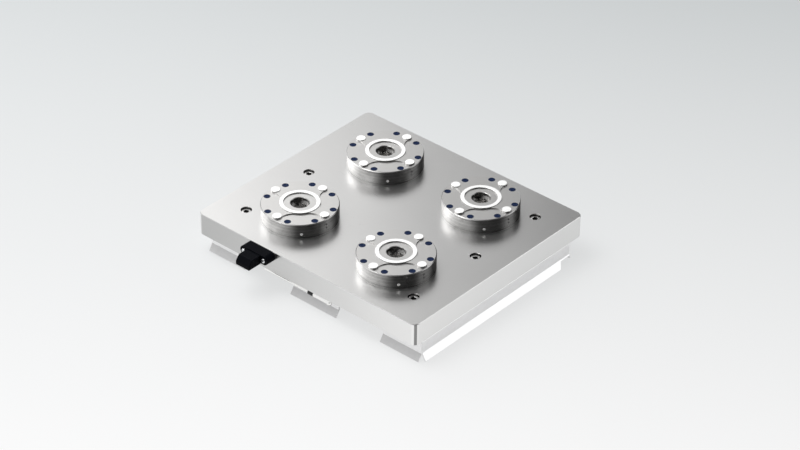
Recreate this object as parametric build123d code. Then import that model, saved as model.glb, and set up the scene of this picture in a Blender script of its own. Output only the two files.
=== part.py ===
from build123d import *
import os
from dataclasses import dataclass
from math import cos, hypot, isclose, radians, sin

# Zero point clamping plate.
# Millimetres, +Z up. The origin is at the centre of the mounting plane under the feet.
# +X runs along the face that carries the connector, and that face looks towards -Y.

# Plate
plate_length = 452.0
plate_width = 400.0
plate_thickness = 38.0
plate_corner_radius = 11.0
plate_edge_chamfer = 0.8
plate_lower_chamfer = 0.3

# Feet under the plate, one at each plate screw
foot_height = 34.0
foot_radius = 16.0
foot_edge_chamfer = 1.0
foot_end_inset = 52.0
foot_side_inset = 56.0
foot_thread_radius = 5.1
foot_thread_depth = 13.0

# Plate screws, M10 socket heads sunk in the plate
plate_screw_radius = 5.0
plate_screw_head_radius = 8.0
plate_screw_head_height = 10.0
plate_screw_head_chamfer = 0.6
plate_screw_socket_flats = 8.0
plate_screw_socket_depth = 5.0
plate_screw_engagement = 15.0
plate_screw_hole_clearance = 0.5
plate_counterbore_radius = 9.0
plate_counterbore_depth = 12.8

# Clearances
thread_clearance = 0.05
slide_clearance = 0.06
running_clearance = 0.05
seat_clearance = 0.1
seal_clearance = 0.05
seal_groove_clearance = 0.2
seal_wall_gap = 0.02
small_hole_clearance = 0.2
end_clearance = 0.1
thread_end_spare = 1.0

# How far a cutting tool runs past the face that it cuts, and what it leaves of a wall beside it
overrun = 1.0
wall_margin = 0.01

# Clamping units, built outwards from the piston's chamber
unit_pitch = 200.0
chamber_outer_radius = 41.0
spigot_wall = 7.0
screw_circle_outset = 7.0
unit_rim = 7.0
unit_flange_thickness = 2.5
unit_cover_thickness = 21.8
unit_edge_chamfer = 1.2
unit_seam_chamfer = 0.4
spigot_depth = 26.0
stud_bore_radius = 14.65
stud_bore_chamfer = 1.0
stud_pocket_radius = 15.5

# Seat ring and pads on the cover, the ground faces that a pallet rests on
seat_height = 2.9
seat_ring_outer_radius = 32.3
seat_ring_inner_radius = 26.0
seat_chamfer = 0.5
bore_land_height = 0.8
pad_radius = 7.4
pad_rim_inset = 10.0
pad_count = 4
arm_height = 1.6
arm_width = 13.0
arm_straight = 5.0

# Screws of the clamping units, M6 socket heads under plastic caps
unit_screw_count = 8
unit_screw_radius = 3.0
unit_screw_head_radius = 5.0
unit_screw_head_height = 6.0
unit_screw_engagement = 12.0
unit_screw_hole_clearance = 0.3
unit_screw_thread_spare = 2.0
unit_counterbore_radius = 5.55
unit_counterbore_depth = 12.0
screw_cap_radius = 5.45
screw_cap_height = 4.0
screw_cap_dish_radius = 2.2
screw_cap_dish_depth = 0.8

# Clamping slides and the wedge posts that drive them
slide_count = 3
slide_first_angle = 90.0
slide_width = 17.0
slide_height = 7.0
slide_depth_below_face = 8.0
slide_tip_radius = 11.0
slide_tail_inset = 5.0
slide_tail_chamfer = 2.0
slide_channel_wall = 0.5
post_radius = 4.0
post_radius_at_slide = 31.5
post_slope = 0.6
post_pocket_depth = 3.0
post_pocket_clearance = 0.8
post_slot_clearance = 0.2
post_top_clearance = 0.2
piston_travel = 6.0

# Piston, its chamber and the spring stack
chamber_inner_radius = 18.0
piston_thickness = 8.0
piston_top_gap = 0.1
piston_edge_chamfer = 2.0
deck_thickness = 10.4
guide_boss_inset = 3.0
bottom_cover_thickness = 4.0
bottom_cover_inset = 3.0
bottom_cover_chamfer = 0.5
spring_disc_count = 4
spring_disc_thickness = 1.5
spring_outer_gap = 3.0
spring_inner_gap = 2.5
seal_section = 2.0
piston_seal_offset = 3.5
spigot_seal_drop = 7.0

# Air passages
gallery_radius = 3.0
gallery_drop = 19.0
unit_gallery_height = 5.0
unit_gallery_depth = 1.5
unit_riser_radius = 1.0
unit_riser_offset = 2.5
unit_port_drop = 1.5
gallery_plug_radius = 5.0
gallery_plug_length = 8.0
gallery_plug_recess = 0.5
side_plug_radius = 2.3
side_plug_length = 6.0
side_plug_drop = 17.0
side_plug_angle = -45.0
side_plug_recess = 0.3
side_port_radii = (1.5, 1.2)
side_port_drops = (9.0, 15.0)
side_port_depth = 4.0
side_port_angle = -6.0

# Skirts of bent sheet round the underside
skirt_thickness = 2.0
skirt_flange = 16.0
skirt_wall_height = 20.5
lip_reach = 7.5
lip_drop = 11.3
skirt_bend_outer_radius = 0.8
skirt_bend_inner_radius = 0.3
skirt_joint_gap = 0.2
skirt_screw_row = 9.6
front_skirt_inset = 15.0
rear_skirt_inset = 32.6
left_skirt_inset = 15.7
front_tab_left_end = -132.0
front_tab_middle_start = -35.5
front_tab_middle_end = 59.0
front_tab_right_start = 149.4
right_lip_cut_upper_setback = 21.8
right_lip_cut_lower_setback = 31.4
right_lip_strip = 1.8
skirt_screw_radius = 2.5
skirt_screw_head_radius = 4.75
skirt_screw_head_height = 2.7
skirt_screw_head_round = 1.6
skirt_screw_engagement = 9.0
skirt_screw_socket_flats = 3.0
skirt_screw_socket_depth = 1.6

# Connector on the front face
connector_x = -86.9
connector_drop = 8.1
connector_ear_spacing = 41.6
connector_ear_radius = 8.0
connector_depth = 18.0
connector_edge_round = 0.8
connector_gasket_thickness = 1.0
wire_hole_radius = 3.5
wire_hole_depth = 12.0
connector_socket_width = 21.0
connector_socket_height = 9.0
connector_socket_depth = 13.0
connector_insert_depth = 6.0
contact_count = 4
contact_spacing = 4.2
contact_radius = 0.6
contact_length = 5.0
hood_width = 28.4
hood_height = 15.6
hood_top_drop = 1.8
hood_length = 25.3
hood_slope_length = 7.4
hood_slope_drop = 9.0
hood_edge_radius = 1.0
hood_wall = 1.6
hood_cavity_depth = 6.0
hood_plug_length = 6.5
hood_plug_root = 2.0
connector_screw_radius = 2.0
connector_screw_head_radius = 3.6
connector_screw_head_height = 1.8
connector_screw_head_round = 1.0
connector_screw_engagement = 10.0
connector_screw_slot_width = 1.0
connector_screw_slot_depth = 1.0

# Air supply line below the front edge of the plate
line_inset = 8.0
line_drop = 46.4
tube_radius = 3.0
tube_wall = 1.0
tube_start = -87.5
tube_end = 22.5
tube_free_length = 25.0
tube_groove_width = 1.0
tube_groove_depth = 0.3
collar_start = 3.4
collar_length = 10.6
collar_radius = 4.4
collar_edge_chamfer = 0.8
collar_sleeve_radius = 3.55
collar_sleeve_length = 6.0
collar_travel = 1.0
collar_press_gap = 1.2
collar_end_clearance = 0.5
barrel_radius = 4.5
supply_offset = 6.0
elbow_radius = 4.8
knee_radius = 5.4
stem_radius = 4.8
stem_hex_flats = 12.0
stem_hex_height = 4.0
stem_engagement = 8.0
elbow_bore_radius = 2.0

# Radii and distances of the clamping units that follow from the chamber
spigot_radius = chamber_outer_radius + spigot_wall
unit_screw_circle_radius = spigot_radius + screw_circle_outset
unit_radius = unit_screw_circle_radius + unit_rim
pad_circle_radius = unit_radius - pad_rim_inset
guide_boss_radius = spigot_radius - guide_boss_inset
bottom_cover_radius = spigot_radius - bottom_cover_inset
slide_channel_end_radius = spigot_radius - slide_channel_wall
slide_outer_radius = spigot_radius - slide_tail_inset
spring_outer_radius = chamber_outer_radius - spring_outer_gap
spring_inner_radius = chamber_inner_radius + spring_inner_gap

# Heights that follow from the stack
plate_under = foot_height
plate_top = plate_under + plate_thickness
flange_top = plate_top + unit_flange_thickness
face_z = flange_top + unit_cover_thickness
seat_z = face_z + seat_height
bore_land_z = face_z + bore_land_height
pocket_floor = plate_top - spigot_depth
slide_top = face_z - slide_depth_below_face
slide_bottom = slide_top - slide_height
deck_top = slide_bottom - slide_clearance
deck_bottom = deck_top - deck_thickness
piston_top = deck_bottom - piston_top_gap
piston_bottom = piston_top - piston_thickness
bottom_cover_top = pocket_floor + bottom_cover_thickness
gallery_z = plate_top - gallery_drop
slide_mid = (slide_top + slide_bottom) / 2
slide_ceiling = slide_top + slide_clearance
plate_screw_seat = plate_top - plate_counterbore_depth
unit_screw_seat = face_z - unit_counterbore_depth
connector_z = plate_top - connector_drop

# Places in plan
front_y = -plate_width / 2
rear_y = plate_width / 2
left_x = -plate_length / 2
right_x = plate_length / 2
line_y = front_y + line_inset
line_z = plate_top - line_drop
elbow_x = unit_pitch / 2 - spigot_radius - supply_offset
connector_front = front_y - connector_gasket_thickness - connector_depth
foot_column_x = plate_length / 2 - foot_end_inset
foot_row_y = plate_width / 2 - foot_side_inset
unit_places = {
    "front_left": (-unit_pitch / 2, -unit_pitch / 2),
    "front_right": (unit_pitch / 2, -unit_pitch / 2),
    "rear_right": (unit_pitch / 2, unit_pitch / 2),
    "rear_left": (-unit_pitch / 2, unit_pitch / 2),
}
foot_places = [(x, y) for x in (-foot_column_x, foot_column_x) for y in (-foot_row_y, 0, foot_row_y)]

on_base = (Align.CENTER, Align.CENTER, Align.MIN)


def disc(radius, bottom, top, x=0.0, y=0.0):
    """Upright cylinder between two heights."""
    return Pos(x, y, bottom) * Cylinder(radius, top - bottom, align=on_base)


def ring(outer, inner, bottom, top, x=0.0, y=0.0):
    """Upright tube between two heights."""
    return disc(outer, bottom, top, x, y) - disc(inner, bottom - overrun, top + overrun, x, y)


def block(x0, x1, y0, y1, z0, z1):
    """Box between two corners."""
    middle = Pos((x0 + x1) / 2, (y0 + y1) / 2, (z0 + z1) / 2)
    return middle * Box(x1 - x0, y1 - y0, z1 - z0)


def bar(radius, start, end):
    """Round bar from one point to another."""
    path = Vector(*end) - Vector(*start)
    plane = Plane(origin=start, z_dir=path)
    return extrude(plane * Circle(radius), path.length)


def hexagon(flats, bottom, top, x=0.0, y=0.0):
    """Upright hexagonal prism measured across its flats."""
    outline = RegularPolygon(radius=flats / 2, side_count=6, major_radius=False)
    return extrude(Pos(x, y, bottom) * outline, top - bottom)


def turned(points):
    """Solid of revolution about Z from an outline in radius and height."""
    outline = make_face(Plane.XZ * Polyline(*points, close=True))
    return revolve(outline, Axis.Z)


def group(pieces):
    """Keeps separate solids together in one node."""
    return Compound([solid for piece in pieces for solid in piece.solids()])


def polar(radius, angle):
    """Point in plan at a radius and an angle in degrees."""
    return radius * cos(radians(angle)), radius * sin(radians(angle))


def unit_screw_places(x, y):
    """Centres of one clamping unit's screws."""
    step = 360 / unit_screw_count
    for index in range(unit_screw_count):
        dx, dy = polar(unit_screw_circle_radius, step * (index + 0.5))
        yield x + dx, y + dy


def slide_angles():
    """Directions of one clamping unit's slides."""
    return [slide_first_angle + index * 360 / slide_count for index in range(slide_count)]


outward_directions = {
    "front": Vector(0, -1, 0),
    "right": Vector(1, 0, 0),
    "rear": Vector(0, 1, 0),
    "left": Vector(-1, 0, 0),
}


@dataclass
class SkirtPlan:
    """Where one skirt lies: its side, wall plane, the runs of its wall and flange, and its screws."""

    side: str
    wall: float
    wall_run: tuple
    flange_run: tuple
    screw_count: int

    @property
    def runs_along_x(self):
        return self.side in ("front", "rear")

    @property
    def outward(self):
        return outward_directions[self.side]

    @property
    def flange_turn(self):
        """The rear skirt's flange turns outwards, clear of the feet. The others turn inwards."""
        return 1 if self.side == "rear" else -1

    def point(self, along, out, height):
        """Point from its place along the wall, its distance outwards and its height."""
        x, y = (along, self.wall) if self.runs_along_x else (self.wall, along)
        return Vector(x, y, height) + self.outward * out

    def screw_places(self):
        """Centres of the screws that hold the flange."""
        start, end = self.flange_run
        for index in range(self.screw_count):
            along = start + (end - start) * (index + 0.5) / self.screw_count
            place = self.point(along, self.flange_turn * skirt_screw_row, plate_under)
            yield place.X, place.Y


def skirt_plans():
    """Every skirt piece by name."""
    front = front_y + front_skirt_inset
    rear = rear_y - rear_skirt_inset
    left = left_x + left_skirt_inset
    gap = skirt_thickness + skirt_joint_gap
    inner = skirt_flange + skirt_joint_gap
    middle_run = (front_tab_middle_start, front_tab_middle_end)
    side_run = (front + gap, rear - gap)
    return {
        "front_skirt_left": SkirtPlan(
            "front", front, (left, front_tab_left_end), (left + inner, front_tab_left_end), 2
        ),
        "front_skirt_middle": SkirtPlan("front", front, middle_run, middle_run, 2),
        "front_skirt_right": SkirtPlan(
            "front", front, (front_tab_right_start, right_x), (front_tab_right_start, right_x - inner), 2
        ),
        "right_skirt": SkirtPlan("right", right_x, (front + gap, rear), side_run, 4),
        "rear_skirt": SkirtPlan("rear", rear, (left, right_x - gap), (left, right_x - inner), 5),
        "left_skirt": SkirtPlan("left", left, side_run, side_run, 4),
    }


def skirt_screw_places():
    """Centres of all the skirt screws."""
    for plan in skirt_plans().values():
        yield from plan.screw_places()


def connector_bore(radius, start, end, x=connector_x):
    """Round bar on the connector's level, along Y."""
    return bar(radius, (x, start, connector_z), (x, end, connector_z))


def line_bar(radius, start, end):
    """Round bar on the air line's axis, along X."""
    return bar(radius, (start, line_y, line_z), (end, line_y, line_z))


def unit_pocket_cuts(x, y):
    """Pocket for one clamping unit's spigot, and the threads of its screws."""
    cuts = [disc(spigot_radius + seat_clearance, pocket_floor, plate_top + overrun, x, y)]
    depth = unit_screw_engagement + unit_screw_thread_spare
    for sx, sy in unit_screw_places(x, y):
        cuts.append(disc(unit_screw_radius + thread_clearance, plate_top - depth, plate_top + overrun, sx, sy))
    return cuts


def gallery_cuts():
    """Air galleries, drilled from the left and rear faces, with counterbores for their plugs."""
    cuts = []
    crossing = elbow_x + gallery_radius
    for y in (-unit_pitch / 2, unit_pitch / 2):
        mouth = (left_x - overrun, y, gallery_z)
        cuts.append(bar(gallery_radius, mouth, (crossing, y, gallery_z)))
        cuts.append(bar(gallery_radius, (elbow_x, y, gallery_z), (unit_pitch / 2, y, gallery_z)))
        cuts.append(bar(gallery_plug_radius, mouth, (left_x + gallery_plug_length, y, gallery_z)))
    mouth = (elbow_x, rear_y + overrun, gallery_z)
    cuts.append(bar(gallery_radius, mouth, (elbow_x, line_y, gallery_z)))
    cuts.append(bar(gallery_plug_radius, mouth, (elbow_x, rear_y - gallery_plug_length, gallery_z)))
    cuts.append(disc(elbow_bore_radius, plate_under, gallery_z, elbow_x, line_y))
    return cuts


def thread_from_below(radius, depth, x, y):
    """Thread hole in the underside of the plate."""
    top = plate_under + depth + thread_end_spare
    return disc(radius + thread_clearance, plate_under - overrun, top, x, y)


def make_base_plate():
    """Thick plate with pockets for the units, counterbored screw holes and drilled air galleries."""
    outline = RectangleRounded(plate_length, plate_width, plate_corner_radius)
    plate = extrude(Pos(0, 0, plate_under) * outline, plate_thickness)
    plate = chamfer(plate.edges().group_by(Axis.Z)[-1], plate_edge_chamfer)
    plate = chamfer(plate.edges().group_by(Axis.Z)[0], plate_lower_chamfer)
    cuts = gallery_cuts()
    for x, y in unit_places.values():
        cuts += unit_pocket_cuts(x, y)
    for x, y in foot_places:
        hole = plate_screw_radius + plate_screw_hole_clearance
        cuts.append(disc(hole, plate_under - overrun, plate_top, x, y))
        cuts.append(disc(plate_counterbore_radius, plate_screw_seat, plate_top + overrun, x, y))
    for x, y in skirt_screw_places():
        cuts.append(thread_from_below(skirt_screw_radius, skirt_screw_engagement, x, y))
    cuts.append(thread_from_below(stem_radius, stem_engagement, elbow_x, line_y))
    for x in connector_screw_columns():
        end = front_y + connector_screw_engagement + thread_end_spare
        cuts.append(connector_bore(connector_screw_radius + thread_clearance, front_y - overrun, end, x))
    cuts.append(connector_bore(wire_hole_radius, front_y - overrun, front_y + wire_hole_depth))
    return plate - cuts


def make_foot(x, y):
    """Spacer column with a thread at each end."""
    foot = chamfer(disc(foot_radius, 0, foot_height, x, y).edges(), foot_edge_chamfer)
    upper = foot_height - plate_screw_engagement - thread_end_spare
    foot -= disc(plate_screw_radius + thread_clearance, upper, foot_height + overrun, x, y)
    return foot - disc(foot_thread_radius, -overrun, foot_thread_depth, x, y)


def make_plate_screw(x, y):
    """Socket head screw through the plate into a foot."""
    head_top = plate_screw_seat + plate_screw_head_height
    head = disc(plate_screw_head_radius, plate_screw_seat, head_top, x, y)
    head = chamfer(head.edges().group_by(Axis.Z)[-1], plate_screw_head_chamfer)
    head -= hexagon(plate_screw_socket_flats, head_top - plate_screw_socket_depth, head_top + overrun, x, y)
    return head + disc(plate_screw_radius, plate_under - plate_screw_engagement, plate_screw_seat, x, y)


def make_skirt(plan):
    """Bent sheet: a flange under the plate, an upright wall and a flared lip."""
    t = skirt_thickness
    slope = hypot(lip_reach, lip_drop)
    under = (lip_reach - t * lip_drop / slope, -skirt_wall_height - lip_drop - t * lip_reach / slope)
    bend = t * (slope - lip_drop) / lip_reach
    lip = [(0, -skirt_wall_height), (lip_reach, -skirt_wall_height - lip_drop), under]
    inside_bend = (-t, -skirt_wall_height - bend)
    if plan.flange_turn < 0:
        outline = [(-skirt_flange, -t), (-skirt_flange, 0), (0, 0), *lip, inside_bend, (-t, -t)]
    else:
        outline = [(-t, 0), (skirt_flange, 0), (skirt_flange, -t), (0, -t), *lip, inside_bend]
    start, end = plan.wall_run
    run = plan.outward.cross(Vector(0, 0, 1))
    origin = plan.point(end if plan.side in ("front", "right") else start, 0, plate_under)
    section = Plane(origin=origin, x_dir=plan.outward, z_dir=run)
    sheet = extrude(section * make_face(Polyline(*outline, close=True)), end - start)
    sheet = trim_flange(round_bend(sheet, plan), plan)
    if plan.side == "right":
        sheet = cut_back_lip(sheet, plan)
    radius = skirt_screw_radius + small_hole_clearance
    top = plate_under + overrun
    return sheet - [disc(radius, plate_under - foot_height, top, x, y) for x, y in plan.screw_places()]


def round_bend(sheet, plan):
    """Rounds the bend between flange and wall, outside and inside."""
    axis = Axis.X if plan.runs_along_x else Axis.Y
    corners = [plan.point(0, -skirt_thickness, 0), plan.point(0, 0, 0)]
    inner, outer = corners if plan.flange_turn < 0 else reversed(corners)

    def edges_at(point, height):
        found = []
        for edge in sheet.edges().filter_by(axis):
            middle = edge.center()
            across = middle.Y - point.Y if plan.runs_along_x else middle.X - point.X
            if isclose(across, 0, abs_tol=wall_margin) and isclose(middle.Z, height, abs_tol=wall_margin):
                found.append(edge)
        return found

    sheet = fillet(edges_at(outer, plate_under), skirt_bend_outer_radius)
    return fillet(edges_at(inner, plate_under - skirt_thickness), skirt_bend_inner_radius)


def trim_flange(sheet, plan):
    """Cuts the flange short where a neighbour's flange or wall meets it."""
    reach = -skirt_thickness - wall_margin if plan.flange_turn < 0 else wall_margin
    low = plate_under - skirt_thickness - skirt_bend_inner_radius
    for end, limit in zip(plan.wall_run, plan.flange_run):
        if isclose(end, limit):
            continue
        beyond = end + overrun if end > limit else end - overrun
        a = plan.point(beyond, plan.flange_turn * (skirt_flange + overrun), 0)
        b = plan.point(limit, reach, 0)
        sheet -= block(*sorted((a.X, b.X)), *sorted((a.Y, b.Y)), low, plate_under + overrun)
    return sheet


def cut_back_lip(sheet, plan):
    """Cuts the right skirt's lip back on a slant at its rear end, and leaves a narrow strip of it."""
    top = plate_under - skirt_wall_height - right_lip_strip
    end = plan.wall_run[1]
    upper, lower = end - right_lip_cut_upper_setback, end - right_lip_cut_lower_setback
    corner = [(upper, top), (end + overrun, top), (end + overrun, -overrun), (lower, -overrun)]
    return sheet - extrude(Plane.YZ * make_face(Polyline(*corner, close=True)), right_x + 2 * lip_reach)


def make_skirt_screw(x, y):
    """Flat round head screw that holds a skirt's flange."""
    seat = plate_under - skirt_thickness
    low = seat - skirt_screw_head_height
    head = disc(skirt_screw_head_radius, low, seat, x, y)
    head = fillet(head.edges().group_by(Axis.Z)[0], skirt_screw_head_round)
    head -= hexagon(skirt_screw_socket_flats, low - overrun, low + skirt_screw_socket_depth, x, y)
    return head + disc(skirt_screw_radius, seat, plate_under + skirt_screw_engagement, x, y)


def post_radius_at(z):
    """Distance of a wedge post's axis from the unit's centre at a height, with the piston at rest."""
    return post_radius_at_slide + post_slope * (z - slide_mid)


def post_bar(radius, angle, low, high):
    """Slanted bar on a wedge post's axis."""
    a = polar(post_radius_at(low), angle)
    b = polar(post_radius_at(high), angle)
    return bar(radius, (a[0], a[1], low), (b[0], b[1], high))


def post_slot(angle, low, high):
    """Slanted slot that clears a wedge post over the piston's whole travel."""
    radius = post_radius + post_slot_clearance
    shift = post_slope * piston_travel
    inner_low, inner_high = post_radius_at(low), post_radius_at(high)
    web = Polyline(
        (inner_low, low),
        (inner_low + shift, low),
        (inner_high + shift, high),
        (inner_high, high),
        close=True,
    )
    middle = Rot(0, 0, angle) * extrude(Plane.XZ * make_face(web), radius, both=True)
    dx, dy = polar(shift, angle)
    near = post_bar(radius, angle, low, high)
    return [middle, near, Pos(dx, dy, 0) * near]


def slot_cut(angle, inner, outer, width, bottom, top):
    """Radial slot with square ends at an angle."""
    return Rot(0, 0, angle) * block(inner, outer, -width / 2, width / 2, bottom, top)


def side_bar(radius, angle, height, inner, outer):
    """Radial bar in a clamping unit's side, between two distances from its centre."""
    a, b = polar(inner, angle), polar(outer, angle)
    return bar(radius, (a[0], a[1], height), (b[0], b[1], height))


def make_seats():
    """Ground seat ring and pads, with lower arms that flare into the ring."""
    half_width = arm_width / 2
    flare_end = pad_circle_radius - arm_straight
    flare_radius = flare_end**2 + half_width**2 - seat_ring_outer_radius**2
    flare_radius /= 2 * (seat_ring_outer_radius - half_width)
    outline = Circle(seat_ring_outer_radius)
    seats = [ring(seat_ring_outer_radius, seat_ring_inner_radius, face_z, seat_z)]
    for index in range(pad_count):
        turn = Rot(0, 0, index * 360 / pad_count)
        outline += turn * Pos(pad_circle_radius / 2, 0) * Rectangle(pad_circle_radius, arm_width)
        seats.append(turn * disc(pad_radius, face_z, seat_z, pad_circle_radius))
    seats = [chamfer(seat.edges().group_by(Axis.Z)[-1], seat_chamfer) for seat in seats]
    roots = [v for v in outline.vertices() if hypot(v.X, v.Y) < seat_ring_outer_radius + wall_margin]
    arms = extrude(Pos(0, 0, face_z) * fillet(roots, flare_radius), arm_height)
    return [*seats, arms - disc(seat_ring_inner_radius, face_z - overrun, seat_z)]


def slide_channel_cuts():
    """Radial channels for the slides, with pockets above them for the tips of the wedge posts."""
    cuts = []
    width = slide_width + 2 * slide_clearance
    pocket_top = slide_ceiling + post_pocket_depth
    half_tip = post_radius * hypot(1, post_slope) + post_pocket_clearance
    tip_inner = post_radius_at(slide_top) - half_tip
    tip_outer = post_radius_at(pocket_top) + half_tip
    tip_width = 2 * (post_radius + post_pocket_clearance)
    for angle in slide_angles():
        cuts.append(slot_cut(angle, 0, slide_channel_end_radius, width, deck_top - overrun, slide_ceiling))
        cuts.append(slot_cut(angle, tip_inner, tip_outer, tip_width, slide_top, pocket_top))
    return cuts


def make_clamp_cover():
    """Upper part of a clamping unit: stud bore, seats, slide channels and screw holes."""
    cover = disc(unit_radius, flange_top, face_z)
    cover = chamfer(cover.edges().group_by(Axis.Z)[-1], unit_edge_chamfer)
    cover = chamfer(cover.edges().group_by(Axis.Z)[0], unit_seam_chamfer)
    cover = cover.fuse(*make_seats(), disc(seat_ring_inner_radius, face_z, bore_land_z))
    rim = bore_land_z - stud_bore_chamfer
    mouth = stud_bore_radius + stud_bore_chamfer
    out = unit_radius + overrun
    cuts = slide_channel_cuts()
    cuts.append(disc(stud_pocket_radius, flange_top - overrun, slide_ceiling))
    cuts.append(disc(stud_bore_radius, slide_ceiling, bore_land_z + overrun))
    cuts.append(turned([(0, rim), (stud_bore_radius, rim), (mouth, bore_land_z), (0, bore_land_z)]))
    cuts.append(disc(guide_boss_radius + seat_clearance, flange_top - overrun, deck_top))
    for x, y in unit_screw_places(0, 0):
        cuts.append(disc(unit_screw_radius + unit_screw_hole_clearance, flange_top - overrun, face_z, x, y))
        cuts.append(disc(unit_counterbore_radius, unit_screw_seat, face_z + overrun, x, y))
    hole, end = side_plug_radius + thread_clearance, unit_radius - side_plug_length
    cuts.append(side_bar(hole, side_plug_angle, face_z - side_plug_drop, end, out))
    for drop, radius in zip(side_port_drops, side_port_radii):
        end = unit_radius - side_port_depth
        cuts.append(side_bar(radius, side_port_angle, face_z - drop, end, out))
    return cover - cuts


def make_clamp_cylinder():
    """Lower housing of a clamping unit: flange, seat of the guide deck and outer wall of the piston chamber."""
    outer = turned([
        (chamber_outer_radius, deck_bottom),
        (chamber_outer_radius, bottom_cover_top),
        (bottom_cover_radius + seat_clearance, bottom_cover_top),
        (bottom_cover_radius + seat_clearance, pocket_floor + seat_clearance),
        (spigot_radius, pocket_floor + seat_clearance),
        (spigot_radius, plate_top),
        (unit_radius, plate_top),
        (unit_radius, flange_top),
        (guide_boss_radius + seat_clearance, flange_top),
        (guide_boss_radius + seat_clearance, deck_bottom),
    ])
    seal_z = plate_top - spigot_seal_drop
    gallery_low = gallery_z - unit_gallery_height / 2
    seal_top = seal_z + seal_section + seal_groove_clearance
    out = spigot_radius + overrun
    cuts = [
        ring(out, spigot_radius - unit_gallery_depth, gallery_low, gallery_low + unit_gallery_height),
        ring(out, spigot_radius - seal_section, seal_z, seal_top),
    ]
    riser_r = chamber_outer_radius + unit_riser_offset
    port_z = deck_bottom - unit_port_drop
    cuts.append(disc(unit_riser_radius, gallery_z, port_z + unit_riser_radius, riser_r))
    cuts.append(bar(unit_riser_radius, (riser_r, 0, gallery_z), (spigot_radius, 0, gallery_z)))
    cuts.append(bar(unit_riser_radius, (riser_r, 0, port_z), (chamber_outer_radius - overrun, 0, port_z)))
    hole = unit_screw_radius + unit_screw_hole_clearance
    for x, y in unit_screw_places(0, 0):
        cuts.append(disc(hole, plate_top - overrun, flange_top + overrun, x, y))
    return outer - cuts


def make_guide_deck():
    """Deck that the slides run on, with slots for the wedge posts and the tube inside the ring piston."""
    deck = turned([
        (stud_pocket_radius, bottom_cover_top),
        (chamber_inner_radius, bottom_cover_top),
        (chamber_inner_radius, deck_bottom),
        (guide_boss_radius, deck_bottom),
        (guide_boss_radius, deck_top),
        (stud_pocket_radius, deck_top),
    ])
    cuts = []
    for angle in slide_angles():
        cuts += post_slot(angle, deck_bottom - post_radius, deck_top + post_radius)
    return deck - cuts


def make_piston():
    """Ring piston with three slanted posts that drive the slides."""
    r_out = chamber_outer_radius - running_clearance
    r_in = chamber_inner_radius + running_clearance
    groove_low = piston_bottom + piston_seal_offset
    groove_high = groove_low + seal_section + seal_groove_clearance
    body = turned([
        (r_in, piston_bottom),
        (r_out, piston_bottom),
        (r_out, groove_low),
        (r_out - seal_section, groove_low),
        (r_out - seal_section, groove_high),
        (r_out, groove_high),
        (r_out, piston_top - piston_edge_chamfer),
        (r_out - piston_edge_chamfer, piston_top),
        (r_in, piston_top),
        (r_in, groove_high),
        (r_in + seal_section, groove_high),
        (r_in + seal_section, groove_low),
        (r_in, groove_low),
    ])
    post_top = slide_top + post_pocket_depth - post_top_clearance
    above = disc(unit_radius, post_top, face_z + 2 * post_radius)
    root = piston_top - post_radius / 2
    posts = [post_bar(post_radius, angle, root, face_z) - above for angle in slide_angles()]
    return body.fuse(*posts)


def make_piston_seals():
    """Outer and inner seal rings in the piston's grooves."""
    low = piston_bottom + piston_seal_offset + seal_groove_clearance / 2
    r_out = chamber_outer_radius - running_clearance
    r_in = chamber_inner_radius + running_clearance
    outer = ring(r_out, r_out - seal_section + seal_clearance, low, low + seal_section)
    inner = ring(r_in + seal_section - seal_clearance, r_in, low, low + seal_section)
    return [outer, inner]


def make_slide(angle):
    """Clamping slide: a jaw with a hollow nose and a slanted hole for its post."""
    jaw = block(0, slide_outer_radius, -slide_width / 2, slide_width / 2, slide_bottom, slide_top)
    jaw -= disc(slide_tip_radius, slide_bottom - overrun, slide_top + overrun)
    jaw = chamfer(jaw.edges().filter_by(Axis.Z).group_by(Axis.X)[-1], slide_tail_chamfer)
    low, high = slide_bottom - post_radius, slide_top + post_radius
    hole = post_bar(post_radius + running_clearance, angle, low, high)
    return Rot(0, 0, angle) * jaw - hole


def make_spring_stack():
    """Disc springs stacked point to point under the piston."""
    height = (piston_bottom - bottom_cover_top) / spring_disc_count
    rise = height - spring_disc_thickness
    discs = []
    for index in range(spring_disc_count):
        low = bottom_cover_top + index * height
        inner_low, outer_low = (low, low + rise) if index % 2 else (low + rise, low)
        discs.append(turned([
            (spring_inner_radius, inner_low),
            (spring_outer_radius, outer_low),
            (spring_outer_radius, outer_low + spring_disc_thickness),
            (spring_inner_radius, inner_low + spring_disc_thickness),
        ]))
    return discs


def make_bottom_cover(x, y):
    """Disc that closes a clamping unit's chamber and stud pocket."""
    cover = disc(bottom_cover_radius, pocket_floor, bottom_cover_top, x, y)
    return chamfer(cover.edges().group_by(Axis.Z)[0], bottom_cover_chamfer)


def make_unit_screw(x, y):
    """Socket head screw of a clamping unit."""
    head = disc(unit_screw_head_radius, unit_screw_seat, unit_screw_seat + unit_screw_head_height, x, y)
    return head + disc(unit_screw_radius, plate_top - unit_screw_engagement, unit_screw_seat, x, y)


def make_screw_cap(x, y):
    """Plastic cap that closes a screw's counterbore, with a small dish for lifting it out."""
    cap = disc(screw_cap_radius, face_z - screw_cap_height, face_z, x, y)
    return cap - disc(screw_cap_dish_radius, face_z - screw_cap_dish_depth, face_z + overrun, x, y)


def make_side_plug(x, y):
    """Plug of the check port in a clamping unit's side."""
    inner, outer = unit_radius - side_plug_length, unit_radius - side_plug_recess
    return Pos(x, y, 0) * side_bar(side_plug_radius, side_plug_angle, face_z - side_plug_drop, inner, outer)


def make_spigot_seal(x, y):
    """Seal ring round a clamping unit's spigot."""
    low = plate_top - spigot_seal_drop + seal_groove_clearance / 2
    outer = spigot_radius + seat_clearance - seal_wall_gap
    return ring(outer, spigot_radius - seal_section + seal_clearance, low, low + seal_section, x, y)


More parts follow.
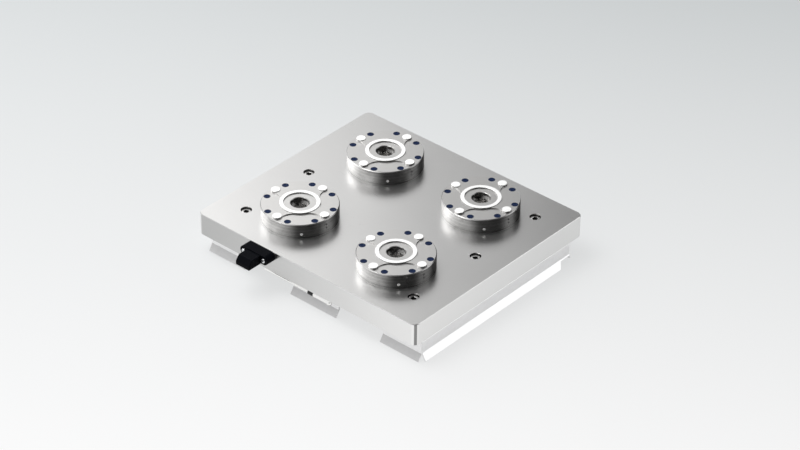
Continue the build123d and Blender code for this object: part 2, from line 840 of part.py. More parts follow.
def make_gallery_plugs():
    """Plugs that close the drilled ends of the air galleries."""
    radius = gallery_plug_radius - thread_clearance
    plugs = []
    for y in (-unit_pitch / 2, unit_pitch / 2):
        start = (left_x + gallery_plug_recess, y, gallery_z)
        plugs.append(bar(radius, start, (left_x + gallery_plug_length, y, gallery_z)))
    start = (elbow_x, rear_y - gallery_plug_recess, gallery_z)
    return [*plugs, bar(radius, start, (elbow_x, rear_y - gallery_plug_length, gallery_z))]


def connector_screw_columns():
    """Places of the connector's two screws along the front face."""
    return connector_x - connector_ear_spacing / 2, connector_x + connector_ear_spacing / 2


def connector_outline(start, depth):
    """Flange with round ears that grows outwards from a plane in front of the plate."""
    outline = SlotCenterToCenter(connector_ear_spacing, 2 * connector_ear_radius)
    plane = Plane(origin=(connector_x, start, connector_z), x_dir=(1, 0, 0), z_dir=(0, -1, 0))
    return extrude(plane * outline, depth)


def socket_block(start, depth, shrink=0.0):
    """Rectangular block on the connector's axis that grows inwards from a plane."""
    half_w = connector_socket_width / 2 - shrink
    half_h = connector_socket_height / 2 - shrink
    return block(connector_x - half_w, connector_x + half_w, start, start + depth,
                 connector_z - half_h, connector_z + half_h)


def connector_holes():
    """Screw holes and the wire hole through the connector's pieces."""
    start, end = front_y + overrun, connector_front - overrun
    radius = connector_screw_radius + small_hole_clearance
    holes = [connector_bore(radius, start, end, x) for x in connector_screw_columns()]
    return [*holes, connector_bore(wire_hole_radius, start, connector_front)]


def make_connector_gasket():
    """Flat gasket between connector and plate."""
    return connector_outline(front_y, connector_gasket_thickness) - connector_holes()


def make_connector_housing():
    """Connector housing with two ears and a rectangular socket in front."""
    housing = connector_outline(front_y - connector_gasket_thickness, connector_depth)
    housing = fillet(housing.edges().group_by(Axis.Y)[0], connector_edge_round)
    housing -= socket_block(connector_front - overrun, connector_socket_depth + overrun)
    return housing - connector_holes()


def make_connector_insert():
    """Contact carrier at the bottom of the socket, with a row of contacts."""
    floor = connector_front + connector_socket_depth
    face = floor - connector_insert_depth
    insert = socket_block(face, connector_insert_depth, seat_clearance)
    for index in range(contact_count):
        x = connector_x + (index - (contact_count - 1) / 2) * contact_spacing
        insert += connector_bore(contact_radius, face + connector_insert_depth / 2, face - contact_length, x)
    return insert


def make_connector_hood():
    """Cap on the connector, with a sloped top front edge and a hollow plug that enters the socket."""
    back = connector_front
    top = plate_top - hood_top_drop
    tip = back - hood_length
    outline = Polyline(
        (back, top),
        (tip + hood_slope_length, top),
        (tip, top - hood_slope_drop),
        (tip, top - hood_height),
        (back, top - hood_height),
        close=True,
    )
    side = Plane(origin=(connector_x - hood_width / 2, 0, 0), x_dir=(0, 1, 0), z_dir=(1, 0, 0))
    hood = extrude(side * make_face(outline), hood_width)
    free = [edge for edge in hood.edges() if edge.center().Y < back - wall_margin]
    hood = fillet(free, hood_edge_radius)
    plug = socket_block(back - hood_plug_root, hood_plug_length + hood_plug_root, seat_clearance)
    hollow_depth = hood_cavity_depth + hood_plug_length + overrun
    return hood + plug - socket_block(back - hood_cavity_depth, hollow_depth, hood_wall)


def make_connector_screw(x):
    """Slotted screw through an ear of the connector."""
    tip = connector_front - connector_screw_head_height
    head = connector_bore(connector_screw_head_radius, connector_front, tip, x)
    head = fillet(head.edges().group_by(Axis.Y)[0], connector_screw_head_round)
    half = connector_screw_slot_width / 2
    reach = connector_screw_head_radius + overrun
    floor = tip + connector_screw_slot_depth
    head -= block(x - reach, x + reach, tip - overrun, floor, connector_z - half, connector_z + half)
    end = front_y + connector_screw_engagement
    return head + connector_bore(connector_screw_radius, connector_front, end, x)


def make_air_tube():
    """Rigid supply tube, open at its left end, with a groove that marks how far a coupling goes on."""
    bore = line_bar(tube_radius - tube_wall, tube_start - overrun, tube_end + overrun)
    start = tube_start + tube_free_length
    end = start + tube_groove_width
    groove = line_bar(tube_radius + overrun, start, end)
    groove -= line_bar(tube_radius - tube_groove_depth, start, end)
    return line_bar(tube_radius, tube_start, tube_end) - bore - groove


def make_release_collar():
    """Push-in fitting's release collar, with a sleeve that enters the barrel."""
    end = collar_start + collar_length
    head = line_bar(collar_radius, collar_start, end)
    head = chamfer(head.edges().group_by(Axis.X)[0], collar_edge_chamfer)
    sleeve = line_bar(collar_sleeve_radius, end - overrun, end + collar_press_gap + collar_sleeve_length)
    return head + sleeve - line_bar(tube_radius + running_clearance, collar_start - overrun, tube_end)


def make_air_elbow():
    """Long push-in elbow: barrel along the plate's edge and a threaded stem up into the plate."""
    start = collar_start + collar_length + collar_press_gap
    barrel = line_bar(barrel_radius, start, elbow_x)
    knee = Pos(elbow_x, line_y, line_z) * Sphere(knee_radius)
    column = disc(elbow_radius, line_z, plate_under - stem_hex_height, elbow_x, line_y)
    nut = hexagon(stem_hex_flats, plate_under - stem_hex_height, plate_under, elbow_x, line_y)
    stem = disc(stem_radius, plate_under, plate_under + stem_engagement, elbow_x, line_y)
    mouth = start + collar_sleeve_length + collar_travel + collar_end_clearance
    bores = [
        line_bar(collar_sleeve_radius + running_clearance, start - overrun, mouth),
        line_bar(tube_radius + running_clearance, start, tube_end + end_clearance),
        line_bar(elbow_bore_radius, start, elbow_x),
        disc(elbow_bore_radius, line_z, plate_under + stem_engagement + overrun, elbow_x, line_y),
    ]
    return barrel.fuse(knee, column, nut, stem) - bores


def build_nodes():
    """Every node of the assembly by name."""
    nodes = {"base_plate": make_base_plate()}
    nodes["support_feet"] = group(make_foot(x, y) for x, y in foot_places)
    nodes["plate_screws"] = group(make_plate_screw(x, y) for x, y in foot_places)
    for name, plan in skirt_plans().items():
        nodes[name] = make_skirt(plan)
    nodes["skirt_screws"] = group(make_skirt_screw(x, y) for x, y in skirt_screw_places())
    nodes["gallery_plugs"] = group(make_gallery_plugs())
    nodes["connector_gasket"] = make_connector_gasket()
    nodes["connector_housing"] = make_connector_housing()
    nodes["connector_insert"] = make_connector_insert()
    nodes["connector_hood"] = make_connector_hood()
    nodes["connector_screws"] = group(make_connector_screw(x) for x in connector_screw_columns())
    nodes["air_tube"] = make_air_tube()
    nodes["release_collar"] = make_release_collar()
    nodes["air_elbow"] = make_air_elbow()
    places = list(unit_places.values())
    screws = [place for x, y in places for place in unit_screw_places(x, y)]
    nodes["unit_screws"] = group(make_unit_screw(x, y) for x, y in screws)
    nodes["screw_caps"] = group(make_screw_cap(x, y) for x, y in screws)
    nodes["side_plugs"] = group(make_side_plug(x, y) for x, y in places)
    nodes["spigot_seals"] = group(make_spigot_seal(x, y) for x, y in places)
    nodes["bottom_covers"] = group(make_bottom_cover(x, y) for x, y in places)
    unit_pieces = {
        "clamp_cover": make_clamp_cover(),
        "clamp_cylinder": make_clamp_cylinder(),
        "guide_deck": make_guide_deck(),
        "piston": make_piston(),
        "piston_seals": group(make_piston_seals()),
        "disc_springs": group(make_spring_stack()),
    }
    for index, angle in enumerate(slide_angles()):
        unit_pieces[f"clamp_slide_{index + 1}"] = make_slide(angle)
    for place, (x, y) in unit_places.items():
        for piece, shape in unit_pieces.items():
            nodes[f"{piece}_{place}"] = Pos(x, y, 0) * shape
    return nodes


def main():
    os.makedirs("parts", exist_ok=True)
    for name, shape in build_nodes().items():
        export_step(shape, f"parts/{name}.step")


main()
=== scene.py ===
from math import cos, pi, radians, sin

import bmesh
import bpy
from mathutils import Matrix, Vector


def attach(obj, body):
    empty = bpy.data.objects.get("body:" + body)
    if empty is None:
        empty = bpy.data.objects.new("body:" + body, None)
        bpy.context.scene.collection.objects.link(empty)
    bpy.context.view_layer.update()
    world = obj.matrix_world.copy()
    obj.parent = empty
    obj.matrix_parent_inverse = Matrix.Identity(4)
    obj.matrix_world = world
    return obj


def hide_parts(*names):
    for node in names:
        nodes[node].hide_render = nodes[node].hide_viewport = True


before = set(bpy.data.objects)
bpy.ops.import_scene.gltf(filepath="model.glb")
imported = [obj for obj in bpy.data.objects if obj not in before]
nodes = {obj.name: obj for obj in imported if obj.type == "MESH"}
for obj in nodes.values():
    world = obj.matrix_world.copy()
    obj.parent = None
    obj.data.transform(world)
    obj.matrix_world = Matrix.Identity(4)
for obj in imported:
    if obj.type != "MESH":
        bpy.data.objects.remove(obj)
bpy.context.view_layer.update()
bpy.ops.object.select_all(action="DESELECT")
bpy.context.scene.view_settings.view_transform = "Standard"

MM = 0.001

# Sizes shared with the solids
plate_top = 72 * MM
face_z = 96.3 * MM
seat_z = 99.2 * MM
unit_offset = 100 * MM
unit_radius = 62 * MM
seam_z = 74.5 * MM

# Half sizes of the plate, and its screws' bores and places, the places in mm
plate_half_length = 226 * MM
plate_half_width = 200 * MM
bore_radius = 9 * MM
screw_column = 174
screw_row = 144
unit_places = {
    "front_left": (-unit_offset, -unit_offset),
    "front_right": (unit_offset, -unit_offset),
    "rear_right": (unit_offset, unit_offset),
    "rear_left": (-unit_offset, unit_offset),
}


# Camera

def place_camera():
    """Puts the camera where the photograph was taken, with its slight roll."""
    data = bpy.data.cameras.new("camera")
    data.sensor_width = 36
    data.lens = 139.878
    data.clip_end = 100
    camera = bpy.data.objects.new("camera", data)
    bpy.context.scene.collection.objects.link(camera)
    place = Vector((2.65561, -3.02122, 2.79712))
    target = Vector((0.143165, -0.14141, 0.187078))
    forward = (target - place).normalized()
    right = forward.cross(Vector((0, 0, 1))).normalized()
    up = right.cross(forward)
    roll = radians(0.5883)
    turned_right = right * cos(roll) + up * sin(roll)
    turned_up = up * cos(roll) - right * sin(roll)
    turn = Matrix((turned_right, turned_up, -forward)).transposed()
    camera.matrix_world = Matrix.Translation(place) @ turn.to_4x4()
    bpy.context.scene.camera = camera


place_camera()


# Shader maths

class Value:
    """A value in a material's nodes. Arithmetic on it adds Math nodes."""

    def __init__(self, finish, socket):
        self.finish = finish
        self.socket = socket

    def math(self, operation, first, second=None):
        inputs = {0: first} if second is None else {0: first, 1: second}
        return self.finish.node("ShaderNodeMath", {"operation": operation}, inputs)

    def __add__(self, other):
        return self.math("ADD", self, other)

    def __radd__(self, other):
        return self.math("ADD", other, self)

    def __sub__(self, other):
        return self.math("SUBTRACT", self, other)

    def __rsub__(self, other):
        return self.math("SUBTRACT", other, self)

    def __neg__(self):
        return 0.0 - self

    def __mul__(self, other):
        return self.math("MULTIPLY", self, other)

    def __rmul__(self, other):
        return self.math("MULTIPLY", other, self)

    def __truediv__(self, other):
        return self.math("DIVIDE", self, other)

    def __pow__(self, other):
        return self.math("POWER", self, other)

    def __abs__(self):
        return self.math("ABSOLUTE", self)

    def larger(self, other):
        return self.math("MAXIMUM", self, other)

    def smaller(self, other):
        return self.math("MINIMUM", self, other)

    def clamped(self):
        return self.larger(0.0).smaller(1.0)

    def between(self, low, high):
        """0 below low, 1 above high and a smooth step in the middle. High may be the lower one."""
        settings = {"interpolation_type": "SMOOTHSTEP"}
        return self.finish.node("ShaderNodeMapRange", settings, {0: self, 1: low, 2: high})


class Finish:
    """A node material, or the world's nodes, under construction."""

    def __init__(self, owner, shader):
        self.owner = owner
        self.tree = owner.node_tree
        self.shader = self.tree.nodes[shader]

    def feed(self, socket, value):
        if isinstance(value, Value):
            self.tree.links.new(value.socket, socket)
        elif isinstance(value, tuple) and socket.type == "RGBA":
            socket.default_value = (*value, 1.0)
        else:
            socket.default_value = value

    def node(self, kind, settings=None, inputs=None, output=0):
        """Adds a node: its settings first, then values or links by socket."""
        made = self.tree.nodes.new(kind)
        for setting, value in (settings or {}).items():
            setattr(made, setting, value)
        for socket, value in (inputs or {}).items():
            self.feed(made.inputs[socket], value)
        return Value(self, made.outputs[output])

    def place(self):
        """Place on the piece, in metres."""
        return self.node("ShaderNodeTexCoord", output="Object")

    def parts(self, vector):
        """The three numbers of a vector."""
        made = self.node("ShaderNodeSeparateXYZ", inputs={0: vector})
        return [Value(self, output) for output in made.socket.node.outputs]

    def vector(self, x, y, z):
        return self.node("ShaderNodeCombineXYZ", inputs={0: x, 1: y, 2: z})

    def dot(self, vector, direction):
        settings = {"operation": "DOT_PRODUCT"}
        return self.node("ShaderNodeVectorMath", settings, {0: vector, 1: direction}, "Value")

    def scaled(self, vector, factors):
        return self.node("ShaderNodeVectorMath", {"operation": "MULTIPLY"}, {0: vector, 1: factors})

    def noise(self, vector, scale, detail=3.0, roughness=0.55):
        """Soft noise around one half."""
        inputs = {"Vector": vector, "Scale": scale, "Detail": detail, "Roughness": roughness}
        return self.node("ShaderNodeTexNoise", inputs=inputs)

    def cells(self, vector, scale):
        """Distance to the nearest of scattered points."""
        return self.node("ShaderNodeTexVoronoi", inputs={"Vector": vector, "Scale": scale})

    def blend(self, amount, first, second):
        """Colour that goes from the first to the second as the amount goes from 0 to 1."""
        made = self.tree.nodes.new("ShaderNodeMix")
        made.data_type = "RGBA"
        self.feed(made.inputs[0], amount)
        self.feed(made.inputs[6], first)
        self.feed(made.inputs[7], second)
        return Value(self, made.outputs[2])

    def relief(self, height, depth):
        """Small relief of the surface: depth is in metres for a height of 1."""
        return self.node("ShaderNodeBump", inputs={"Height": height, "Strength": 1.0, "Distance": depth})

    def facing(self):
        """The surface's own direction, as three numbers."""
        return self.parts(self.node("ShaderNodeNewGeometry", output="Normal"))

    def set(self, **values):
        for socket, value in values.items():
            self.feed(self.shader.inputs[socket.replace("_", " ").title().replace("Ior", "IOR")], value)
        return self.owner


def new_finish(name):
    material = bpy.data.materials.new(name)
    material.use_nodes = True
    return Finish(material, "Principled BSDF")


# Studio

screen_left = Vector((-0.754, -0.657, 0.0))
screen_back = Vector((-0.657, 0.754, 0.0))

# Where the plate's top and the right skirt's lip mirror the camera's line of sight
mirror_way = (-0.543, 0.622, 0.564)
lip_way = (0.73, 0.622, 0.281)

# Levels of the world's light
world_strength = 1.3
least_level = 0.03
left_level = 0.85
right_level = 0.12
plate_glow_level = 0.24
lip_glow_level = 3.2

floor_glow = 0.82
backdrop_near = -0.503
backdrop_depth = 1.287


def world_light():
    """Soft studio light: pale overhead, bright left side, dark right and front, low glow at the right."""
    world = bpy.data.worlds.new("studio")
    world.use_nodes = True
    bpy.context.scene.world = world
    sky = Finish(world, "Background")
    direction = sky.node("ShaderNodeTexCoord", output="Generated")
    height = sky.parts(direction)[2]
    level = (1.001 - height * height) ** 0.5
    left = sky.dot(direction, tuple(screen_left)) / level
    plate_glow = sky.dot(direction, mirror_way).between(0.94, 0.99)
    lip_glow = sky.dot(direction, lip_way).between(0.90, 0.97)
    side = least_level + left_level * left.between(0.0, 0.95) + right_level * left.between(-0.8, -0.96)
    glow = plate_glow_level * plate_glow + lip_glow_level * lip_glow
    overhead = height.between(0.84, 0.97)
    light = (side + glow) * (1.0 - overhead) + overhead
    colour = sky.blend(light / world_strength, (0.0, 0.0, 0.0), (0.99, 0.995, 1.0))
    sky.set(color=colour, strength=world_strength)


def lamp(name, place, turn, size, power):
    """Rectangular soft lamp, unseen by the camera."""
    data = bpy.data.lights.new(name, "AREA")
    data.shape = "RECTANGLE"
    data.size, data.size_y = size
    data.energy = power
    made = bpy.data.objects.new(name, data)
    bpy.context.scene.collection.objects.link(made)
    made.matrix_world = Matrix.Translation(place) @ turn
    made.visible_camera = False


def level_panel(name, near_edge, far_edge, front, back, height, power):
    """Level lamp over the left side. Its edges are given as distances to the left and to the back."""
    middle = screen_left * (near_edge + far_edge) / 2 + screen_back * (front + back) / 2
    across = screen_left.normalized()
    along = Vector((0, 0, 1)).cross(across)
    turn = Matrix((across, along, Vector((0, 0, 1)))).transposed().to_4x4()
    lamp(name, middle + Vector((0, 0, height)), turn, (far_edge - near_edge, back - front), power)


def overhead_lamp(name, place, target, size, power):
    """Square lamp aimed at a target from above."""
    aim = Vector(target) - Vector(place)
    lamp(name, place, aim.to_track_quat("-Z", "Y").to_matrix().to_4x4(), (size, size), power)


def floor_finish():
    """Pale floor that keeps a light shadow, paler towards the camera as the backdrop is; in reflections its
    glow has a painted shadow under the plate.
    """
    paint = new_finish("floor_paint")
    place = paint.place()
    tone = paint.noise(place, 0.8, 1.0)
    pale = paint.blend(tone, (0.82, 0.825, 0.83), (0.84, 0.845, 0.85))
    paint.set(base_color=pale, roughness=0.9, specular_ior_level=0.1)
    distance = paint.dot(place, tuple(screen_back))
    depth = (distance - backdrop_near) / backdrop_depth
    backdrop = paint.blend(depth, (0.935, 0.935, 0.935), (0.55, 0.577, 0.584))
    glow = paint.node("ShaderNodeEmission", inputs={"Color": backdrop, "Strength": 1.0})
    camera = paint.node("ShaderNodeLightPath", output="Is Camera Ray")
    glossy = paint.node("ShaderNodeLightPath", output="Is Glossy Ray")
    through = paint.node("ShaderNodeLightPath", output="Is Transmission Ray")
    x, y = paint.parts(place)[:2]
    # Painted shadow: the glow that reflections see is darkened under the plate's footprint.
    painted_shadow_under_plate = (1.0 - abs(x).between(0.19, 0.23)) * (1.0 - abs(y).between(0.15, 0.20))
    seen = floor_glow * camera.larger(glossy * (1.0 - 0.85 * painted_shadow_under_plate)).larger(through)
    matt = Value(paint, paint.shader.outputs[0])
    mixed = paint.node("ShaderNodeMixShader", inputs={0: seen, 1: matt, 2: glow})
    paint.feed(paint.tree.nodes["Material Output"].inputs["Surface"], mixed)
    return paint.owner


def lay_floor():
    bpy.ops.mesh.primitive_plane_add(size=60, location=(0, 0, 0))
    floor = bpy.context.object
    floor.name = "floor"
    floor.data.materials.append(floor_finish())
    floor.select_set(False)


world_light()
lay_floor()

# Name, near and far edge, front and back edge, height, power
level_panels = (
    ("panel_edge", -0.30, 1.5, 0.4, 2.0, 0.870, 2.15),
    ("panel_middle", 0.0, 1.5, 0.4, 2.0, 0.875, 2.52),
    ("panel_inner", 0.28, 1.5, 0.4, 2.0, 0.880, 1.38),
    ("panel_far", 0.62, 1.6, 0.2, 2.0, 0.885, 7.2),
)
for panel in level_panels:
    level_panel(*panel)
overhead_lamp("overhead", (-0.6, -0.52, 2.0), (0, 0, 0.05), 1.3, 34.0)


# Finishes

def unit_distance(finish, place):
    """Distance from the nearest clamping unit's axis."""
    x, y = finish.parts(place)[:2]
    near_x = abs(x) - unit_offset
    near_y = abs(y) - unit_offset
    return (near_x * near_x + near_y * near_y) ** 0.5


def screw_distance(finish, place):
    """Distance from the nearest plate screw's axis."""
    x, y = finish.parts(place)[:2]
    near_x = abs(x) - screw_column * MM
    near_y = abs(y).smaller(abs(abs(y) - screw_row * MM))
    return (near_x * near_x + near_y * near_y) ** 0.5


def plate_finish():
    """Satin ground steel, with painted shade on the front face towards its left and on the right face
    towards the rear, a painted highlight and a painted dark reflection streak near the corner, and painted
    shade on the front-top chamfer and in the screw bores.
    """
    steel = new_finish("satin_plate_steel")
    place = steel.place()
    x, y, z = steel.parts(place)
    east, north, up = steel.facing()
    grain = steel.noise(steel.scaled(place, (30, 900, 900)), 1.0, 4.0, 0.6)
    speckle = steel.noise(place, 1500, 2.0)
    cloud = steel.noise(place, 9, 3.0)
    tone = (0.5 * cloud + 0.3 * grain + 0.2 * speckle).clamped()
    front = (-north).between(0.9, 0.99)
    right = east.between(0.9, 0.99)
    # Painted shade: the front face darkens towards its left end, the right face towards the rear.
    painted_shade_front_face = front * (0.33 - 0.25 * x.between(-plate_half_length, 0.6 * plate_half_length))
    painted_shade_right_face = right * (0.09 + 0.06 * y.between(-plate_half_width, plate_half_width))
    # Painted highlight on the front face towards its right end and on the near corner, and a painted dark
    # reflection streak down the corner.
    near_corner_facing = east * 0.783 - north * 0.622
    painted_highlight = front.larger(near_corner_facing.between(0.62, 0.72)) * (x / plate_half_length).between(0.2, 0.95)
    painted_dark_reflection = near_corner_facing.between(0.970, 0.984)
    # Painted shade in the screw bores, below the plate's top.
    near_screw = 1.0 - screw_distance(steel, place).between(bore_radius, bore_radius + 0.25 * MM)
    painted_bore_shade = near_screw * (1.0 - z.between(plate_top - 0.7 * MM, plate_top - 0.2 * MM))
    colour = steel.blend(tone, (0.78, 0.775, 0.765), (0.88, 0.875, 0.865))
    colour = steel.blend(0.75 * painted_highlight, colour, (0.98, 0.975, 0.965))
    # Painted shade on the front-top chamfer, which damps its highlight.
    edge = up.between(0.5, 0.6) * (1.0 - up.between(0.8, 0.9)) * (-north).between(0.3, 0.6)
    shade = painted_shade_front_face.larger(painted_shade_right_face).larger(0.25 * edge).larger(0.7 * painted_dark_reflection).larger(0.9 * painted_bore_shade)
    steel.set(
        base_color=steel.blend(shade, colour, (0.0, 0.0, 0.0)),
        metallic=1.0,
        roughness=0.24 + 0.06 * grain + 0.04 * cloud,
        normal=steel.relief(0.6 * grain + 0.4 * speckle, 0.004 * MM),
    )
    return steel.owner


def cover_finish():
    """Hardened cover of a clamping unit: turned sides with painted shade in their dark range, on their
    right-facing part and in the bore, satin face, bright ground seats.
    """
    steel = new_finish("turned_unit_steel")
    place = steel.place()
    z = steel.parts(place)[2]
    radius = unit_distance(steel, place)
    east, north, up = steel.facing()
    seats = z.between(seat_z - 0.7 * MM, seat_z - 0.3 * MM) * up.between(0.5, 0.7)
    flat = up.between(0.6, 0.9)
    rings = steel.noise(steel.vector(radius * 2600, z * 2600, 0.0), 1.0, 3.0, 0.6)
    wide_rings = steel.noise(steel.vector(radius * 500, z * 500, 0.0), 1.0, 2.0, 0.6)
    cloud = steel.noise(place, 40, 3.0)
    tone = (0.40 * rings + 0.35 * wide_rings + 0.25 * cloud).clamped()
    # The sides' dark colour range, darker than the face of the same steel, is painted shade; the turned
    # rings in it are grain.
    side = steel.blend(tone.between(0.3, 0.7), (0.14, 0.137, 0.133), (0.78, 0.775, 0.77))
    # Painted shade on the sides that face right; the seam is a dark joint line.
    painted_shade_right_side = (east * 0.985 - north * 0.174).between(0.5, 0.8)
    seam = 1.0 - (abs(z - seam_z) - 0.3 * MM).between(0.0, 0.2 * MM)
    side = steel.blend((0.62 * painted_shade_right_side).larger(0.9 * seam), side, (0.0, 0.0, 0.0))
    # Painted shade on the upright walls in and around the bore.
    painted_bore_shade = 1.0 - radius.between(40 * MM, 44 * MM)
    side = steel.blend(0.8 * painted_bore_shade, side, (0.22, 0.218, 0.215))
    face = steel.blend(tone, (0.76, 0.75, 0.735), (0.86, 0.85, 0.835))
    ground = steel.blend(tone, (0.94, 0.94, 0.93), (0.99, 0.99, 0.98))
    colour = steel.blend(seats, steel.blend(flat, side, face), ground)
    steel.set(
        base_color=colour,
        metallic=1.0 - 0.65 * seats,
        roughness=0.20 + 0.10 * rings + 0.08 * flat + 0.2 * seats,
        normal=steel.relief(rings, 0.006 * MM),
    )
    return steel.owner


def plain_steel(name, dark, bright, roughness, grain_scale):
    """Machined steel with fine scattered grain and cloudy tone."""
    steel = new_finish(name)
    place = steel.place()
    grain = steel.noise(place, grain_scale, 3.0, 0.6)
    cloud = steel.noise(place, 60, 2.0)
    tone = (0.5 * grain + 0.5 * cloud).clamped()
    steel.set(
        base_color=steel.blend(tone, dark, bright),
        metallic=1.0,
        roughness=roughness - 0.05 + 0.1 * grain,
        normal=steel.relief(grain, 0.004 * MM),
    )
    return steel.owner


def screw_finish():
    """Bright socket head, with painted shade on its upright sides and its socket's walls."""
    steel = new_finish("screw_steel")
    place = steel.place()
    grain = steel.noise(place, 1200, 3.0, 0.6)
    # Painted shade on every face that doesn't face up.
    painted_shade_sides = 1.0 - steel.facing()[2].between(0.3, 0.7)
    bright = steel.blend(grain, (0.74, 0.73, 0.72), (0.90, 0.89, 0.88))
    steel.set(
        base_color=steel.blend(0.95 * painted_shade_sides, bright, (0.0, 0.0, 0.0)),
        metallic=1.0,
        roughness=0.25 + 0.1 * grain,
        normal=steel.relief(grain, 0.004 * MM),
    )
    return steel.owner


def tube_finish():
    """Bright nickel plate of the air line, with painted shade on its underside."""
    steel = new_finish("nickel_plate")
    place = steel.place()
    grain = steel.noise(place, 600, 3.0, 0.6)
    # Painted shade on the faces turned downwards.
    under = 1.0 - steel.facing()[2].between(-0.70, -0.40)
    bright = steel.blend(grain, (0.93, 0.925, 0.91), (0.99, 0.985, 0.97))
    steel.set(
        base_color=steel.blend(0.85 * under, bright, (0.0, 0.0, 0.0)),
        metallic=1.0,
        roughness=0.12 + 0.08 * grain,
    )
    return steel.owner


def sheet_finish():
    """Bright zinc-coated sheet with faint rolling lines, painted shade on the front lips and a painted
    highlight on the right lip.
    """
    sheet = new_finish("zinc_sheet")
    place = sheet.place()
    east, north, up = sheet.facing()
    lip = up.between(0.15, 0.3)
    # Painted shade on the front lips and a painted highlight on the right lip, which is also made more
    # metallic.
    painted_shade_front_lip = lip * (-north).between(0.2, 0.4)
    painted_highlight_right_lip = lip * east.between(0.2, 0.4)
    rolling = sheet.noise(sheet.scaled(place, (40, 40, 700)), 1.0, 3.0)
    spangle = sheet.cells(place, 160)
    tone = (0.6 * rolling + 0.5 * spangle).clamped()
    colour = sheet.blend(tone, (0.885, 0.88, 0.88), (0.97, 0.965, 0.965))
    colour = sheet.blend(painted_highlight_right_lip, colour, (0.99, 0.99, 0.99))
    sheet.set(
        base_color=sheet.blend(0.34 * painted_shade_front_lip, colour, (0.0, 0.0, 0.0)),
        metallic=0.65 + 0.3 * painted_highlight_right_lip,
        roughness=0.32 + 0.08 * rolling,
        normal=sheet.relief(rolling, 0.003 * MM),
    )
    return sheet.owner


def moulded(name, dark, bright, roughness, specular):
    """Moulded plastic with a fine eroded texture."""
    plastic = new_finish(name)
    place = plastic.place()
    grain = plastic.noise(place, 1800, 3.0, 0.6)
    cloud = plastic.noise(place, 120, 2.0)
    plastic.set(
        base_color=plastic.blend((0.5 * grain + 0.5 * cloud).clamped(), dark, bright),
        roughness=roughness - 0.05 + 0.1 * grain,
        normal=plastic.relief(grain, 0.02 * MM),
        specular_ior_level=specular,
    )
    return plastic.owner


plate_steel = plate_finish()
unit_steel = cover_finish()
hard_steel = plain_steel("polished_hard_steel", (0.70, 0.69, 0.68), (0.86, 0.85, 0.84), 0.26, 900)
spring_steel = plain_steel("spring_steel", (0.30, 0.30, 0.31), (0.42, 0.42, 0.43), 0.35, 700)
screw_steel = screw_finish()
black_steel = plain_steel("black_oxide_steel", (0.05, 0.05, 0.055), (0.10, 0.10, 0.11), 0.42, 800)
zinc_steel = plain_steel("zinc_screw_steel", (0.66, 0.67, 0.68), (0.84, 0.85, 0.86), 0.30, 1100)
nickel = tube_finish()
sheet_steel = sheet_finish()
cap_plastic = moulded("navy_cap_plastic", (0.003, 0.009, 0.034), (0.006, 0.018, 0.062), 0.40, 0.15)
connector_plastic = moulded(
    "black_connector_plastic", (0.0008, 0.001, 0.002), (0.0016, 0.0022, 0.004), 0.5, 0.04
)
collar_plastic = moulded("black_collar_plastic", (0.006, 0.006, 0.007), (0.012, 0.012, 0.014), 0.30, 0.4)
plug_white = moulded("bright_plug", (0.86, 0.86, 0.85), (0.94, 0.94, 0.93), 0.35, 0.5)
rubber = moulded("seal_rubber", (0.012, 0.012, 0.012), (0.022, 0.022, 0.022), 0.65, 0.3)

finishes = {
    "base_plate": plate_steel,
    "support_feet": black_steel,
    "plate_screws": screw_steel,
    "front_skirt_left": sheet_steel,
    "front_skirt_middle": sheet_steel,
    "front_skirt_right": sheet_steel,
    "right_skirt": sheet_steel,
    "rear_skirt": sheet_steel,
    "left_skirt": sheet_steel,
    "skirt_screws": zinc_steel,
    "gallery_plugs": zinc_steel,
    "connector_gasket": rubber,
    "connector_housing": connector_plastic,
    "connector_insert": connector_plastic,
    "connector_hood": connector_plastic,
    "connector_screws": zinc_steel,
    "air_tube": nickel,
    "release_collar": collar_plastic,
    "air_elbow": nickel,
    "unit_screws": black_steel,
    "screw_caps": cap_plastic,
    "side_plugs": plug_white,
    "spigot_seals": rubber,
    "bottom_covers": hard_steel,
    "clamp_cover": unit_steel,
    "clamp_cylinder": unit_steel,
    "guide_deck": hard_steel,
    "piston": hard_steel,
    "piston_seals": rubber,
    "disc_springs": spring_steel,
    "clamp_slide": hard_steel,
}


def dress_nodes():
    """Gives every node of the frame its finish."""
    for name, node in nodes.items():
        start = max((key for key in finishes if name.startswith(key)), key=len)
        node.data.materials.clear()
        node.data.materials.append(finishes[start])


dress_nodes()


# Modelling

def round_blank(name, radius, length, sides):
    """Round bar under the origin, in edit mode."""
    middle = (0, 0, -length / 2)
    bpy.ops.mesh.primitive_cylinder_add(vertices=sides, radius=radius, depth=length, location=middle)
    bpy.ops.object.transform_apply(location=True, rotation=False, scale=False)
    bpy.context.object.name = name
    bpy.ops.object.mode_set(mode="EDIT")
    return bpy.context.object


def pick(piece, kind, wanted):
    """Selects the faces or edges of a piece in edit mode that pass a test."""
    bpy.ops.mesh.select_mode(type=kind)
    bpy.ops.mesh.select_all(action="DESELECT")
    mesh = bmesh.from_edit_mesh(piece.data)
    for item in mesh.faces if kind == "FACE" else mesh.edges:
        item.select_set(wanted(item))
    bmesh.update_edit_mesh(piece.data)


def pick_end(piece, upward):
    """Selects the flat face at one end of a round blank."""
    pick(piece, "FACE", lambda face: face.normal.z * upward > 0.99)


def pick_rim(piece, height, least, most):
    """Selects the edges that lie flat at a height, between two distances from the axis."""
    def on_rim(edge):
        level = all(abs(corner.co.z - height) < 0.01 * MM for corner in edge.verts)
        return level and all(least < corner.co.xy.length < most for corner in edge.verts)

    pick(piece, "EDGE", on_rim)


def round_rim(piece, height, radius, width, segments):
    """Rounds the outer rim of a blank's end."""
    pick_rim(piece, height, radius - 0.1 * MM, radius + 0.1 * MM)
    bpy.ops.mesh.bevel(offset=width, segments=segments, affect="EDGES")


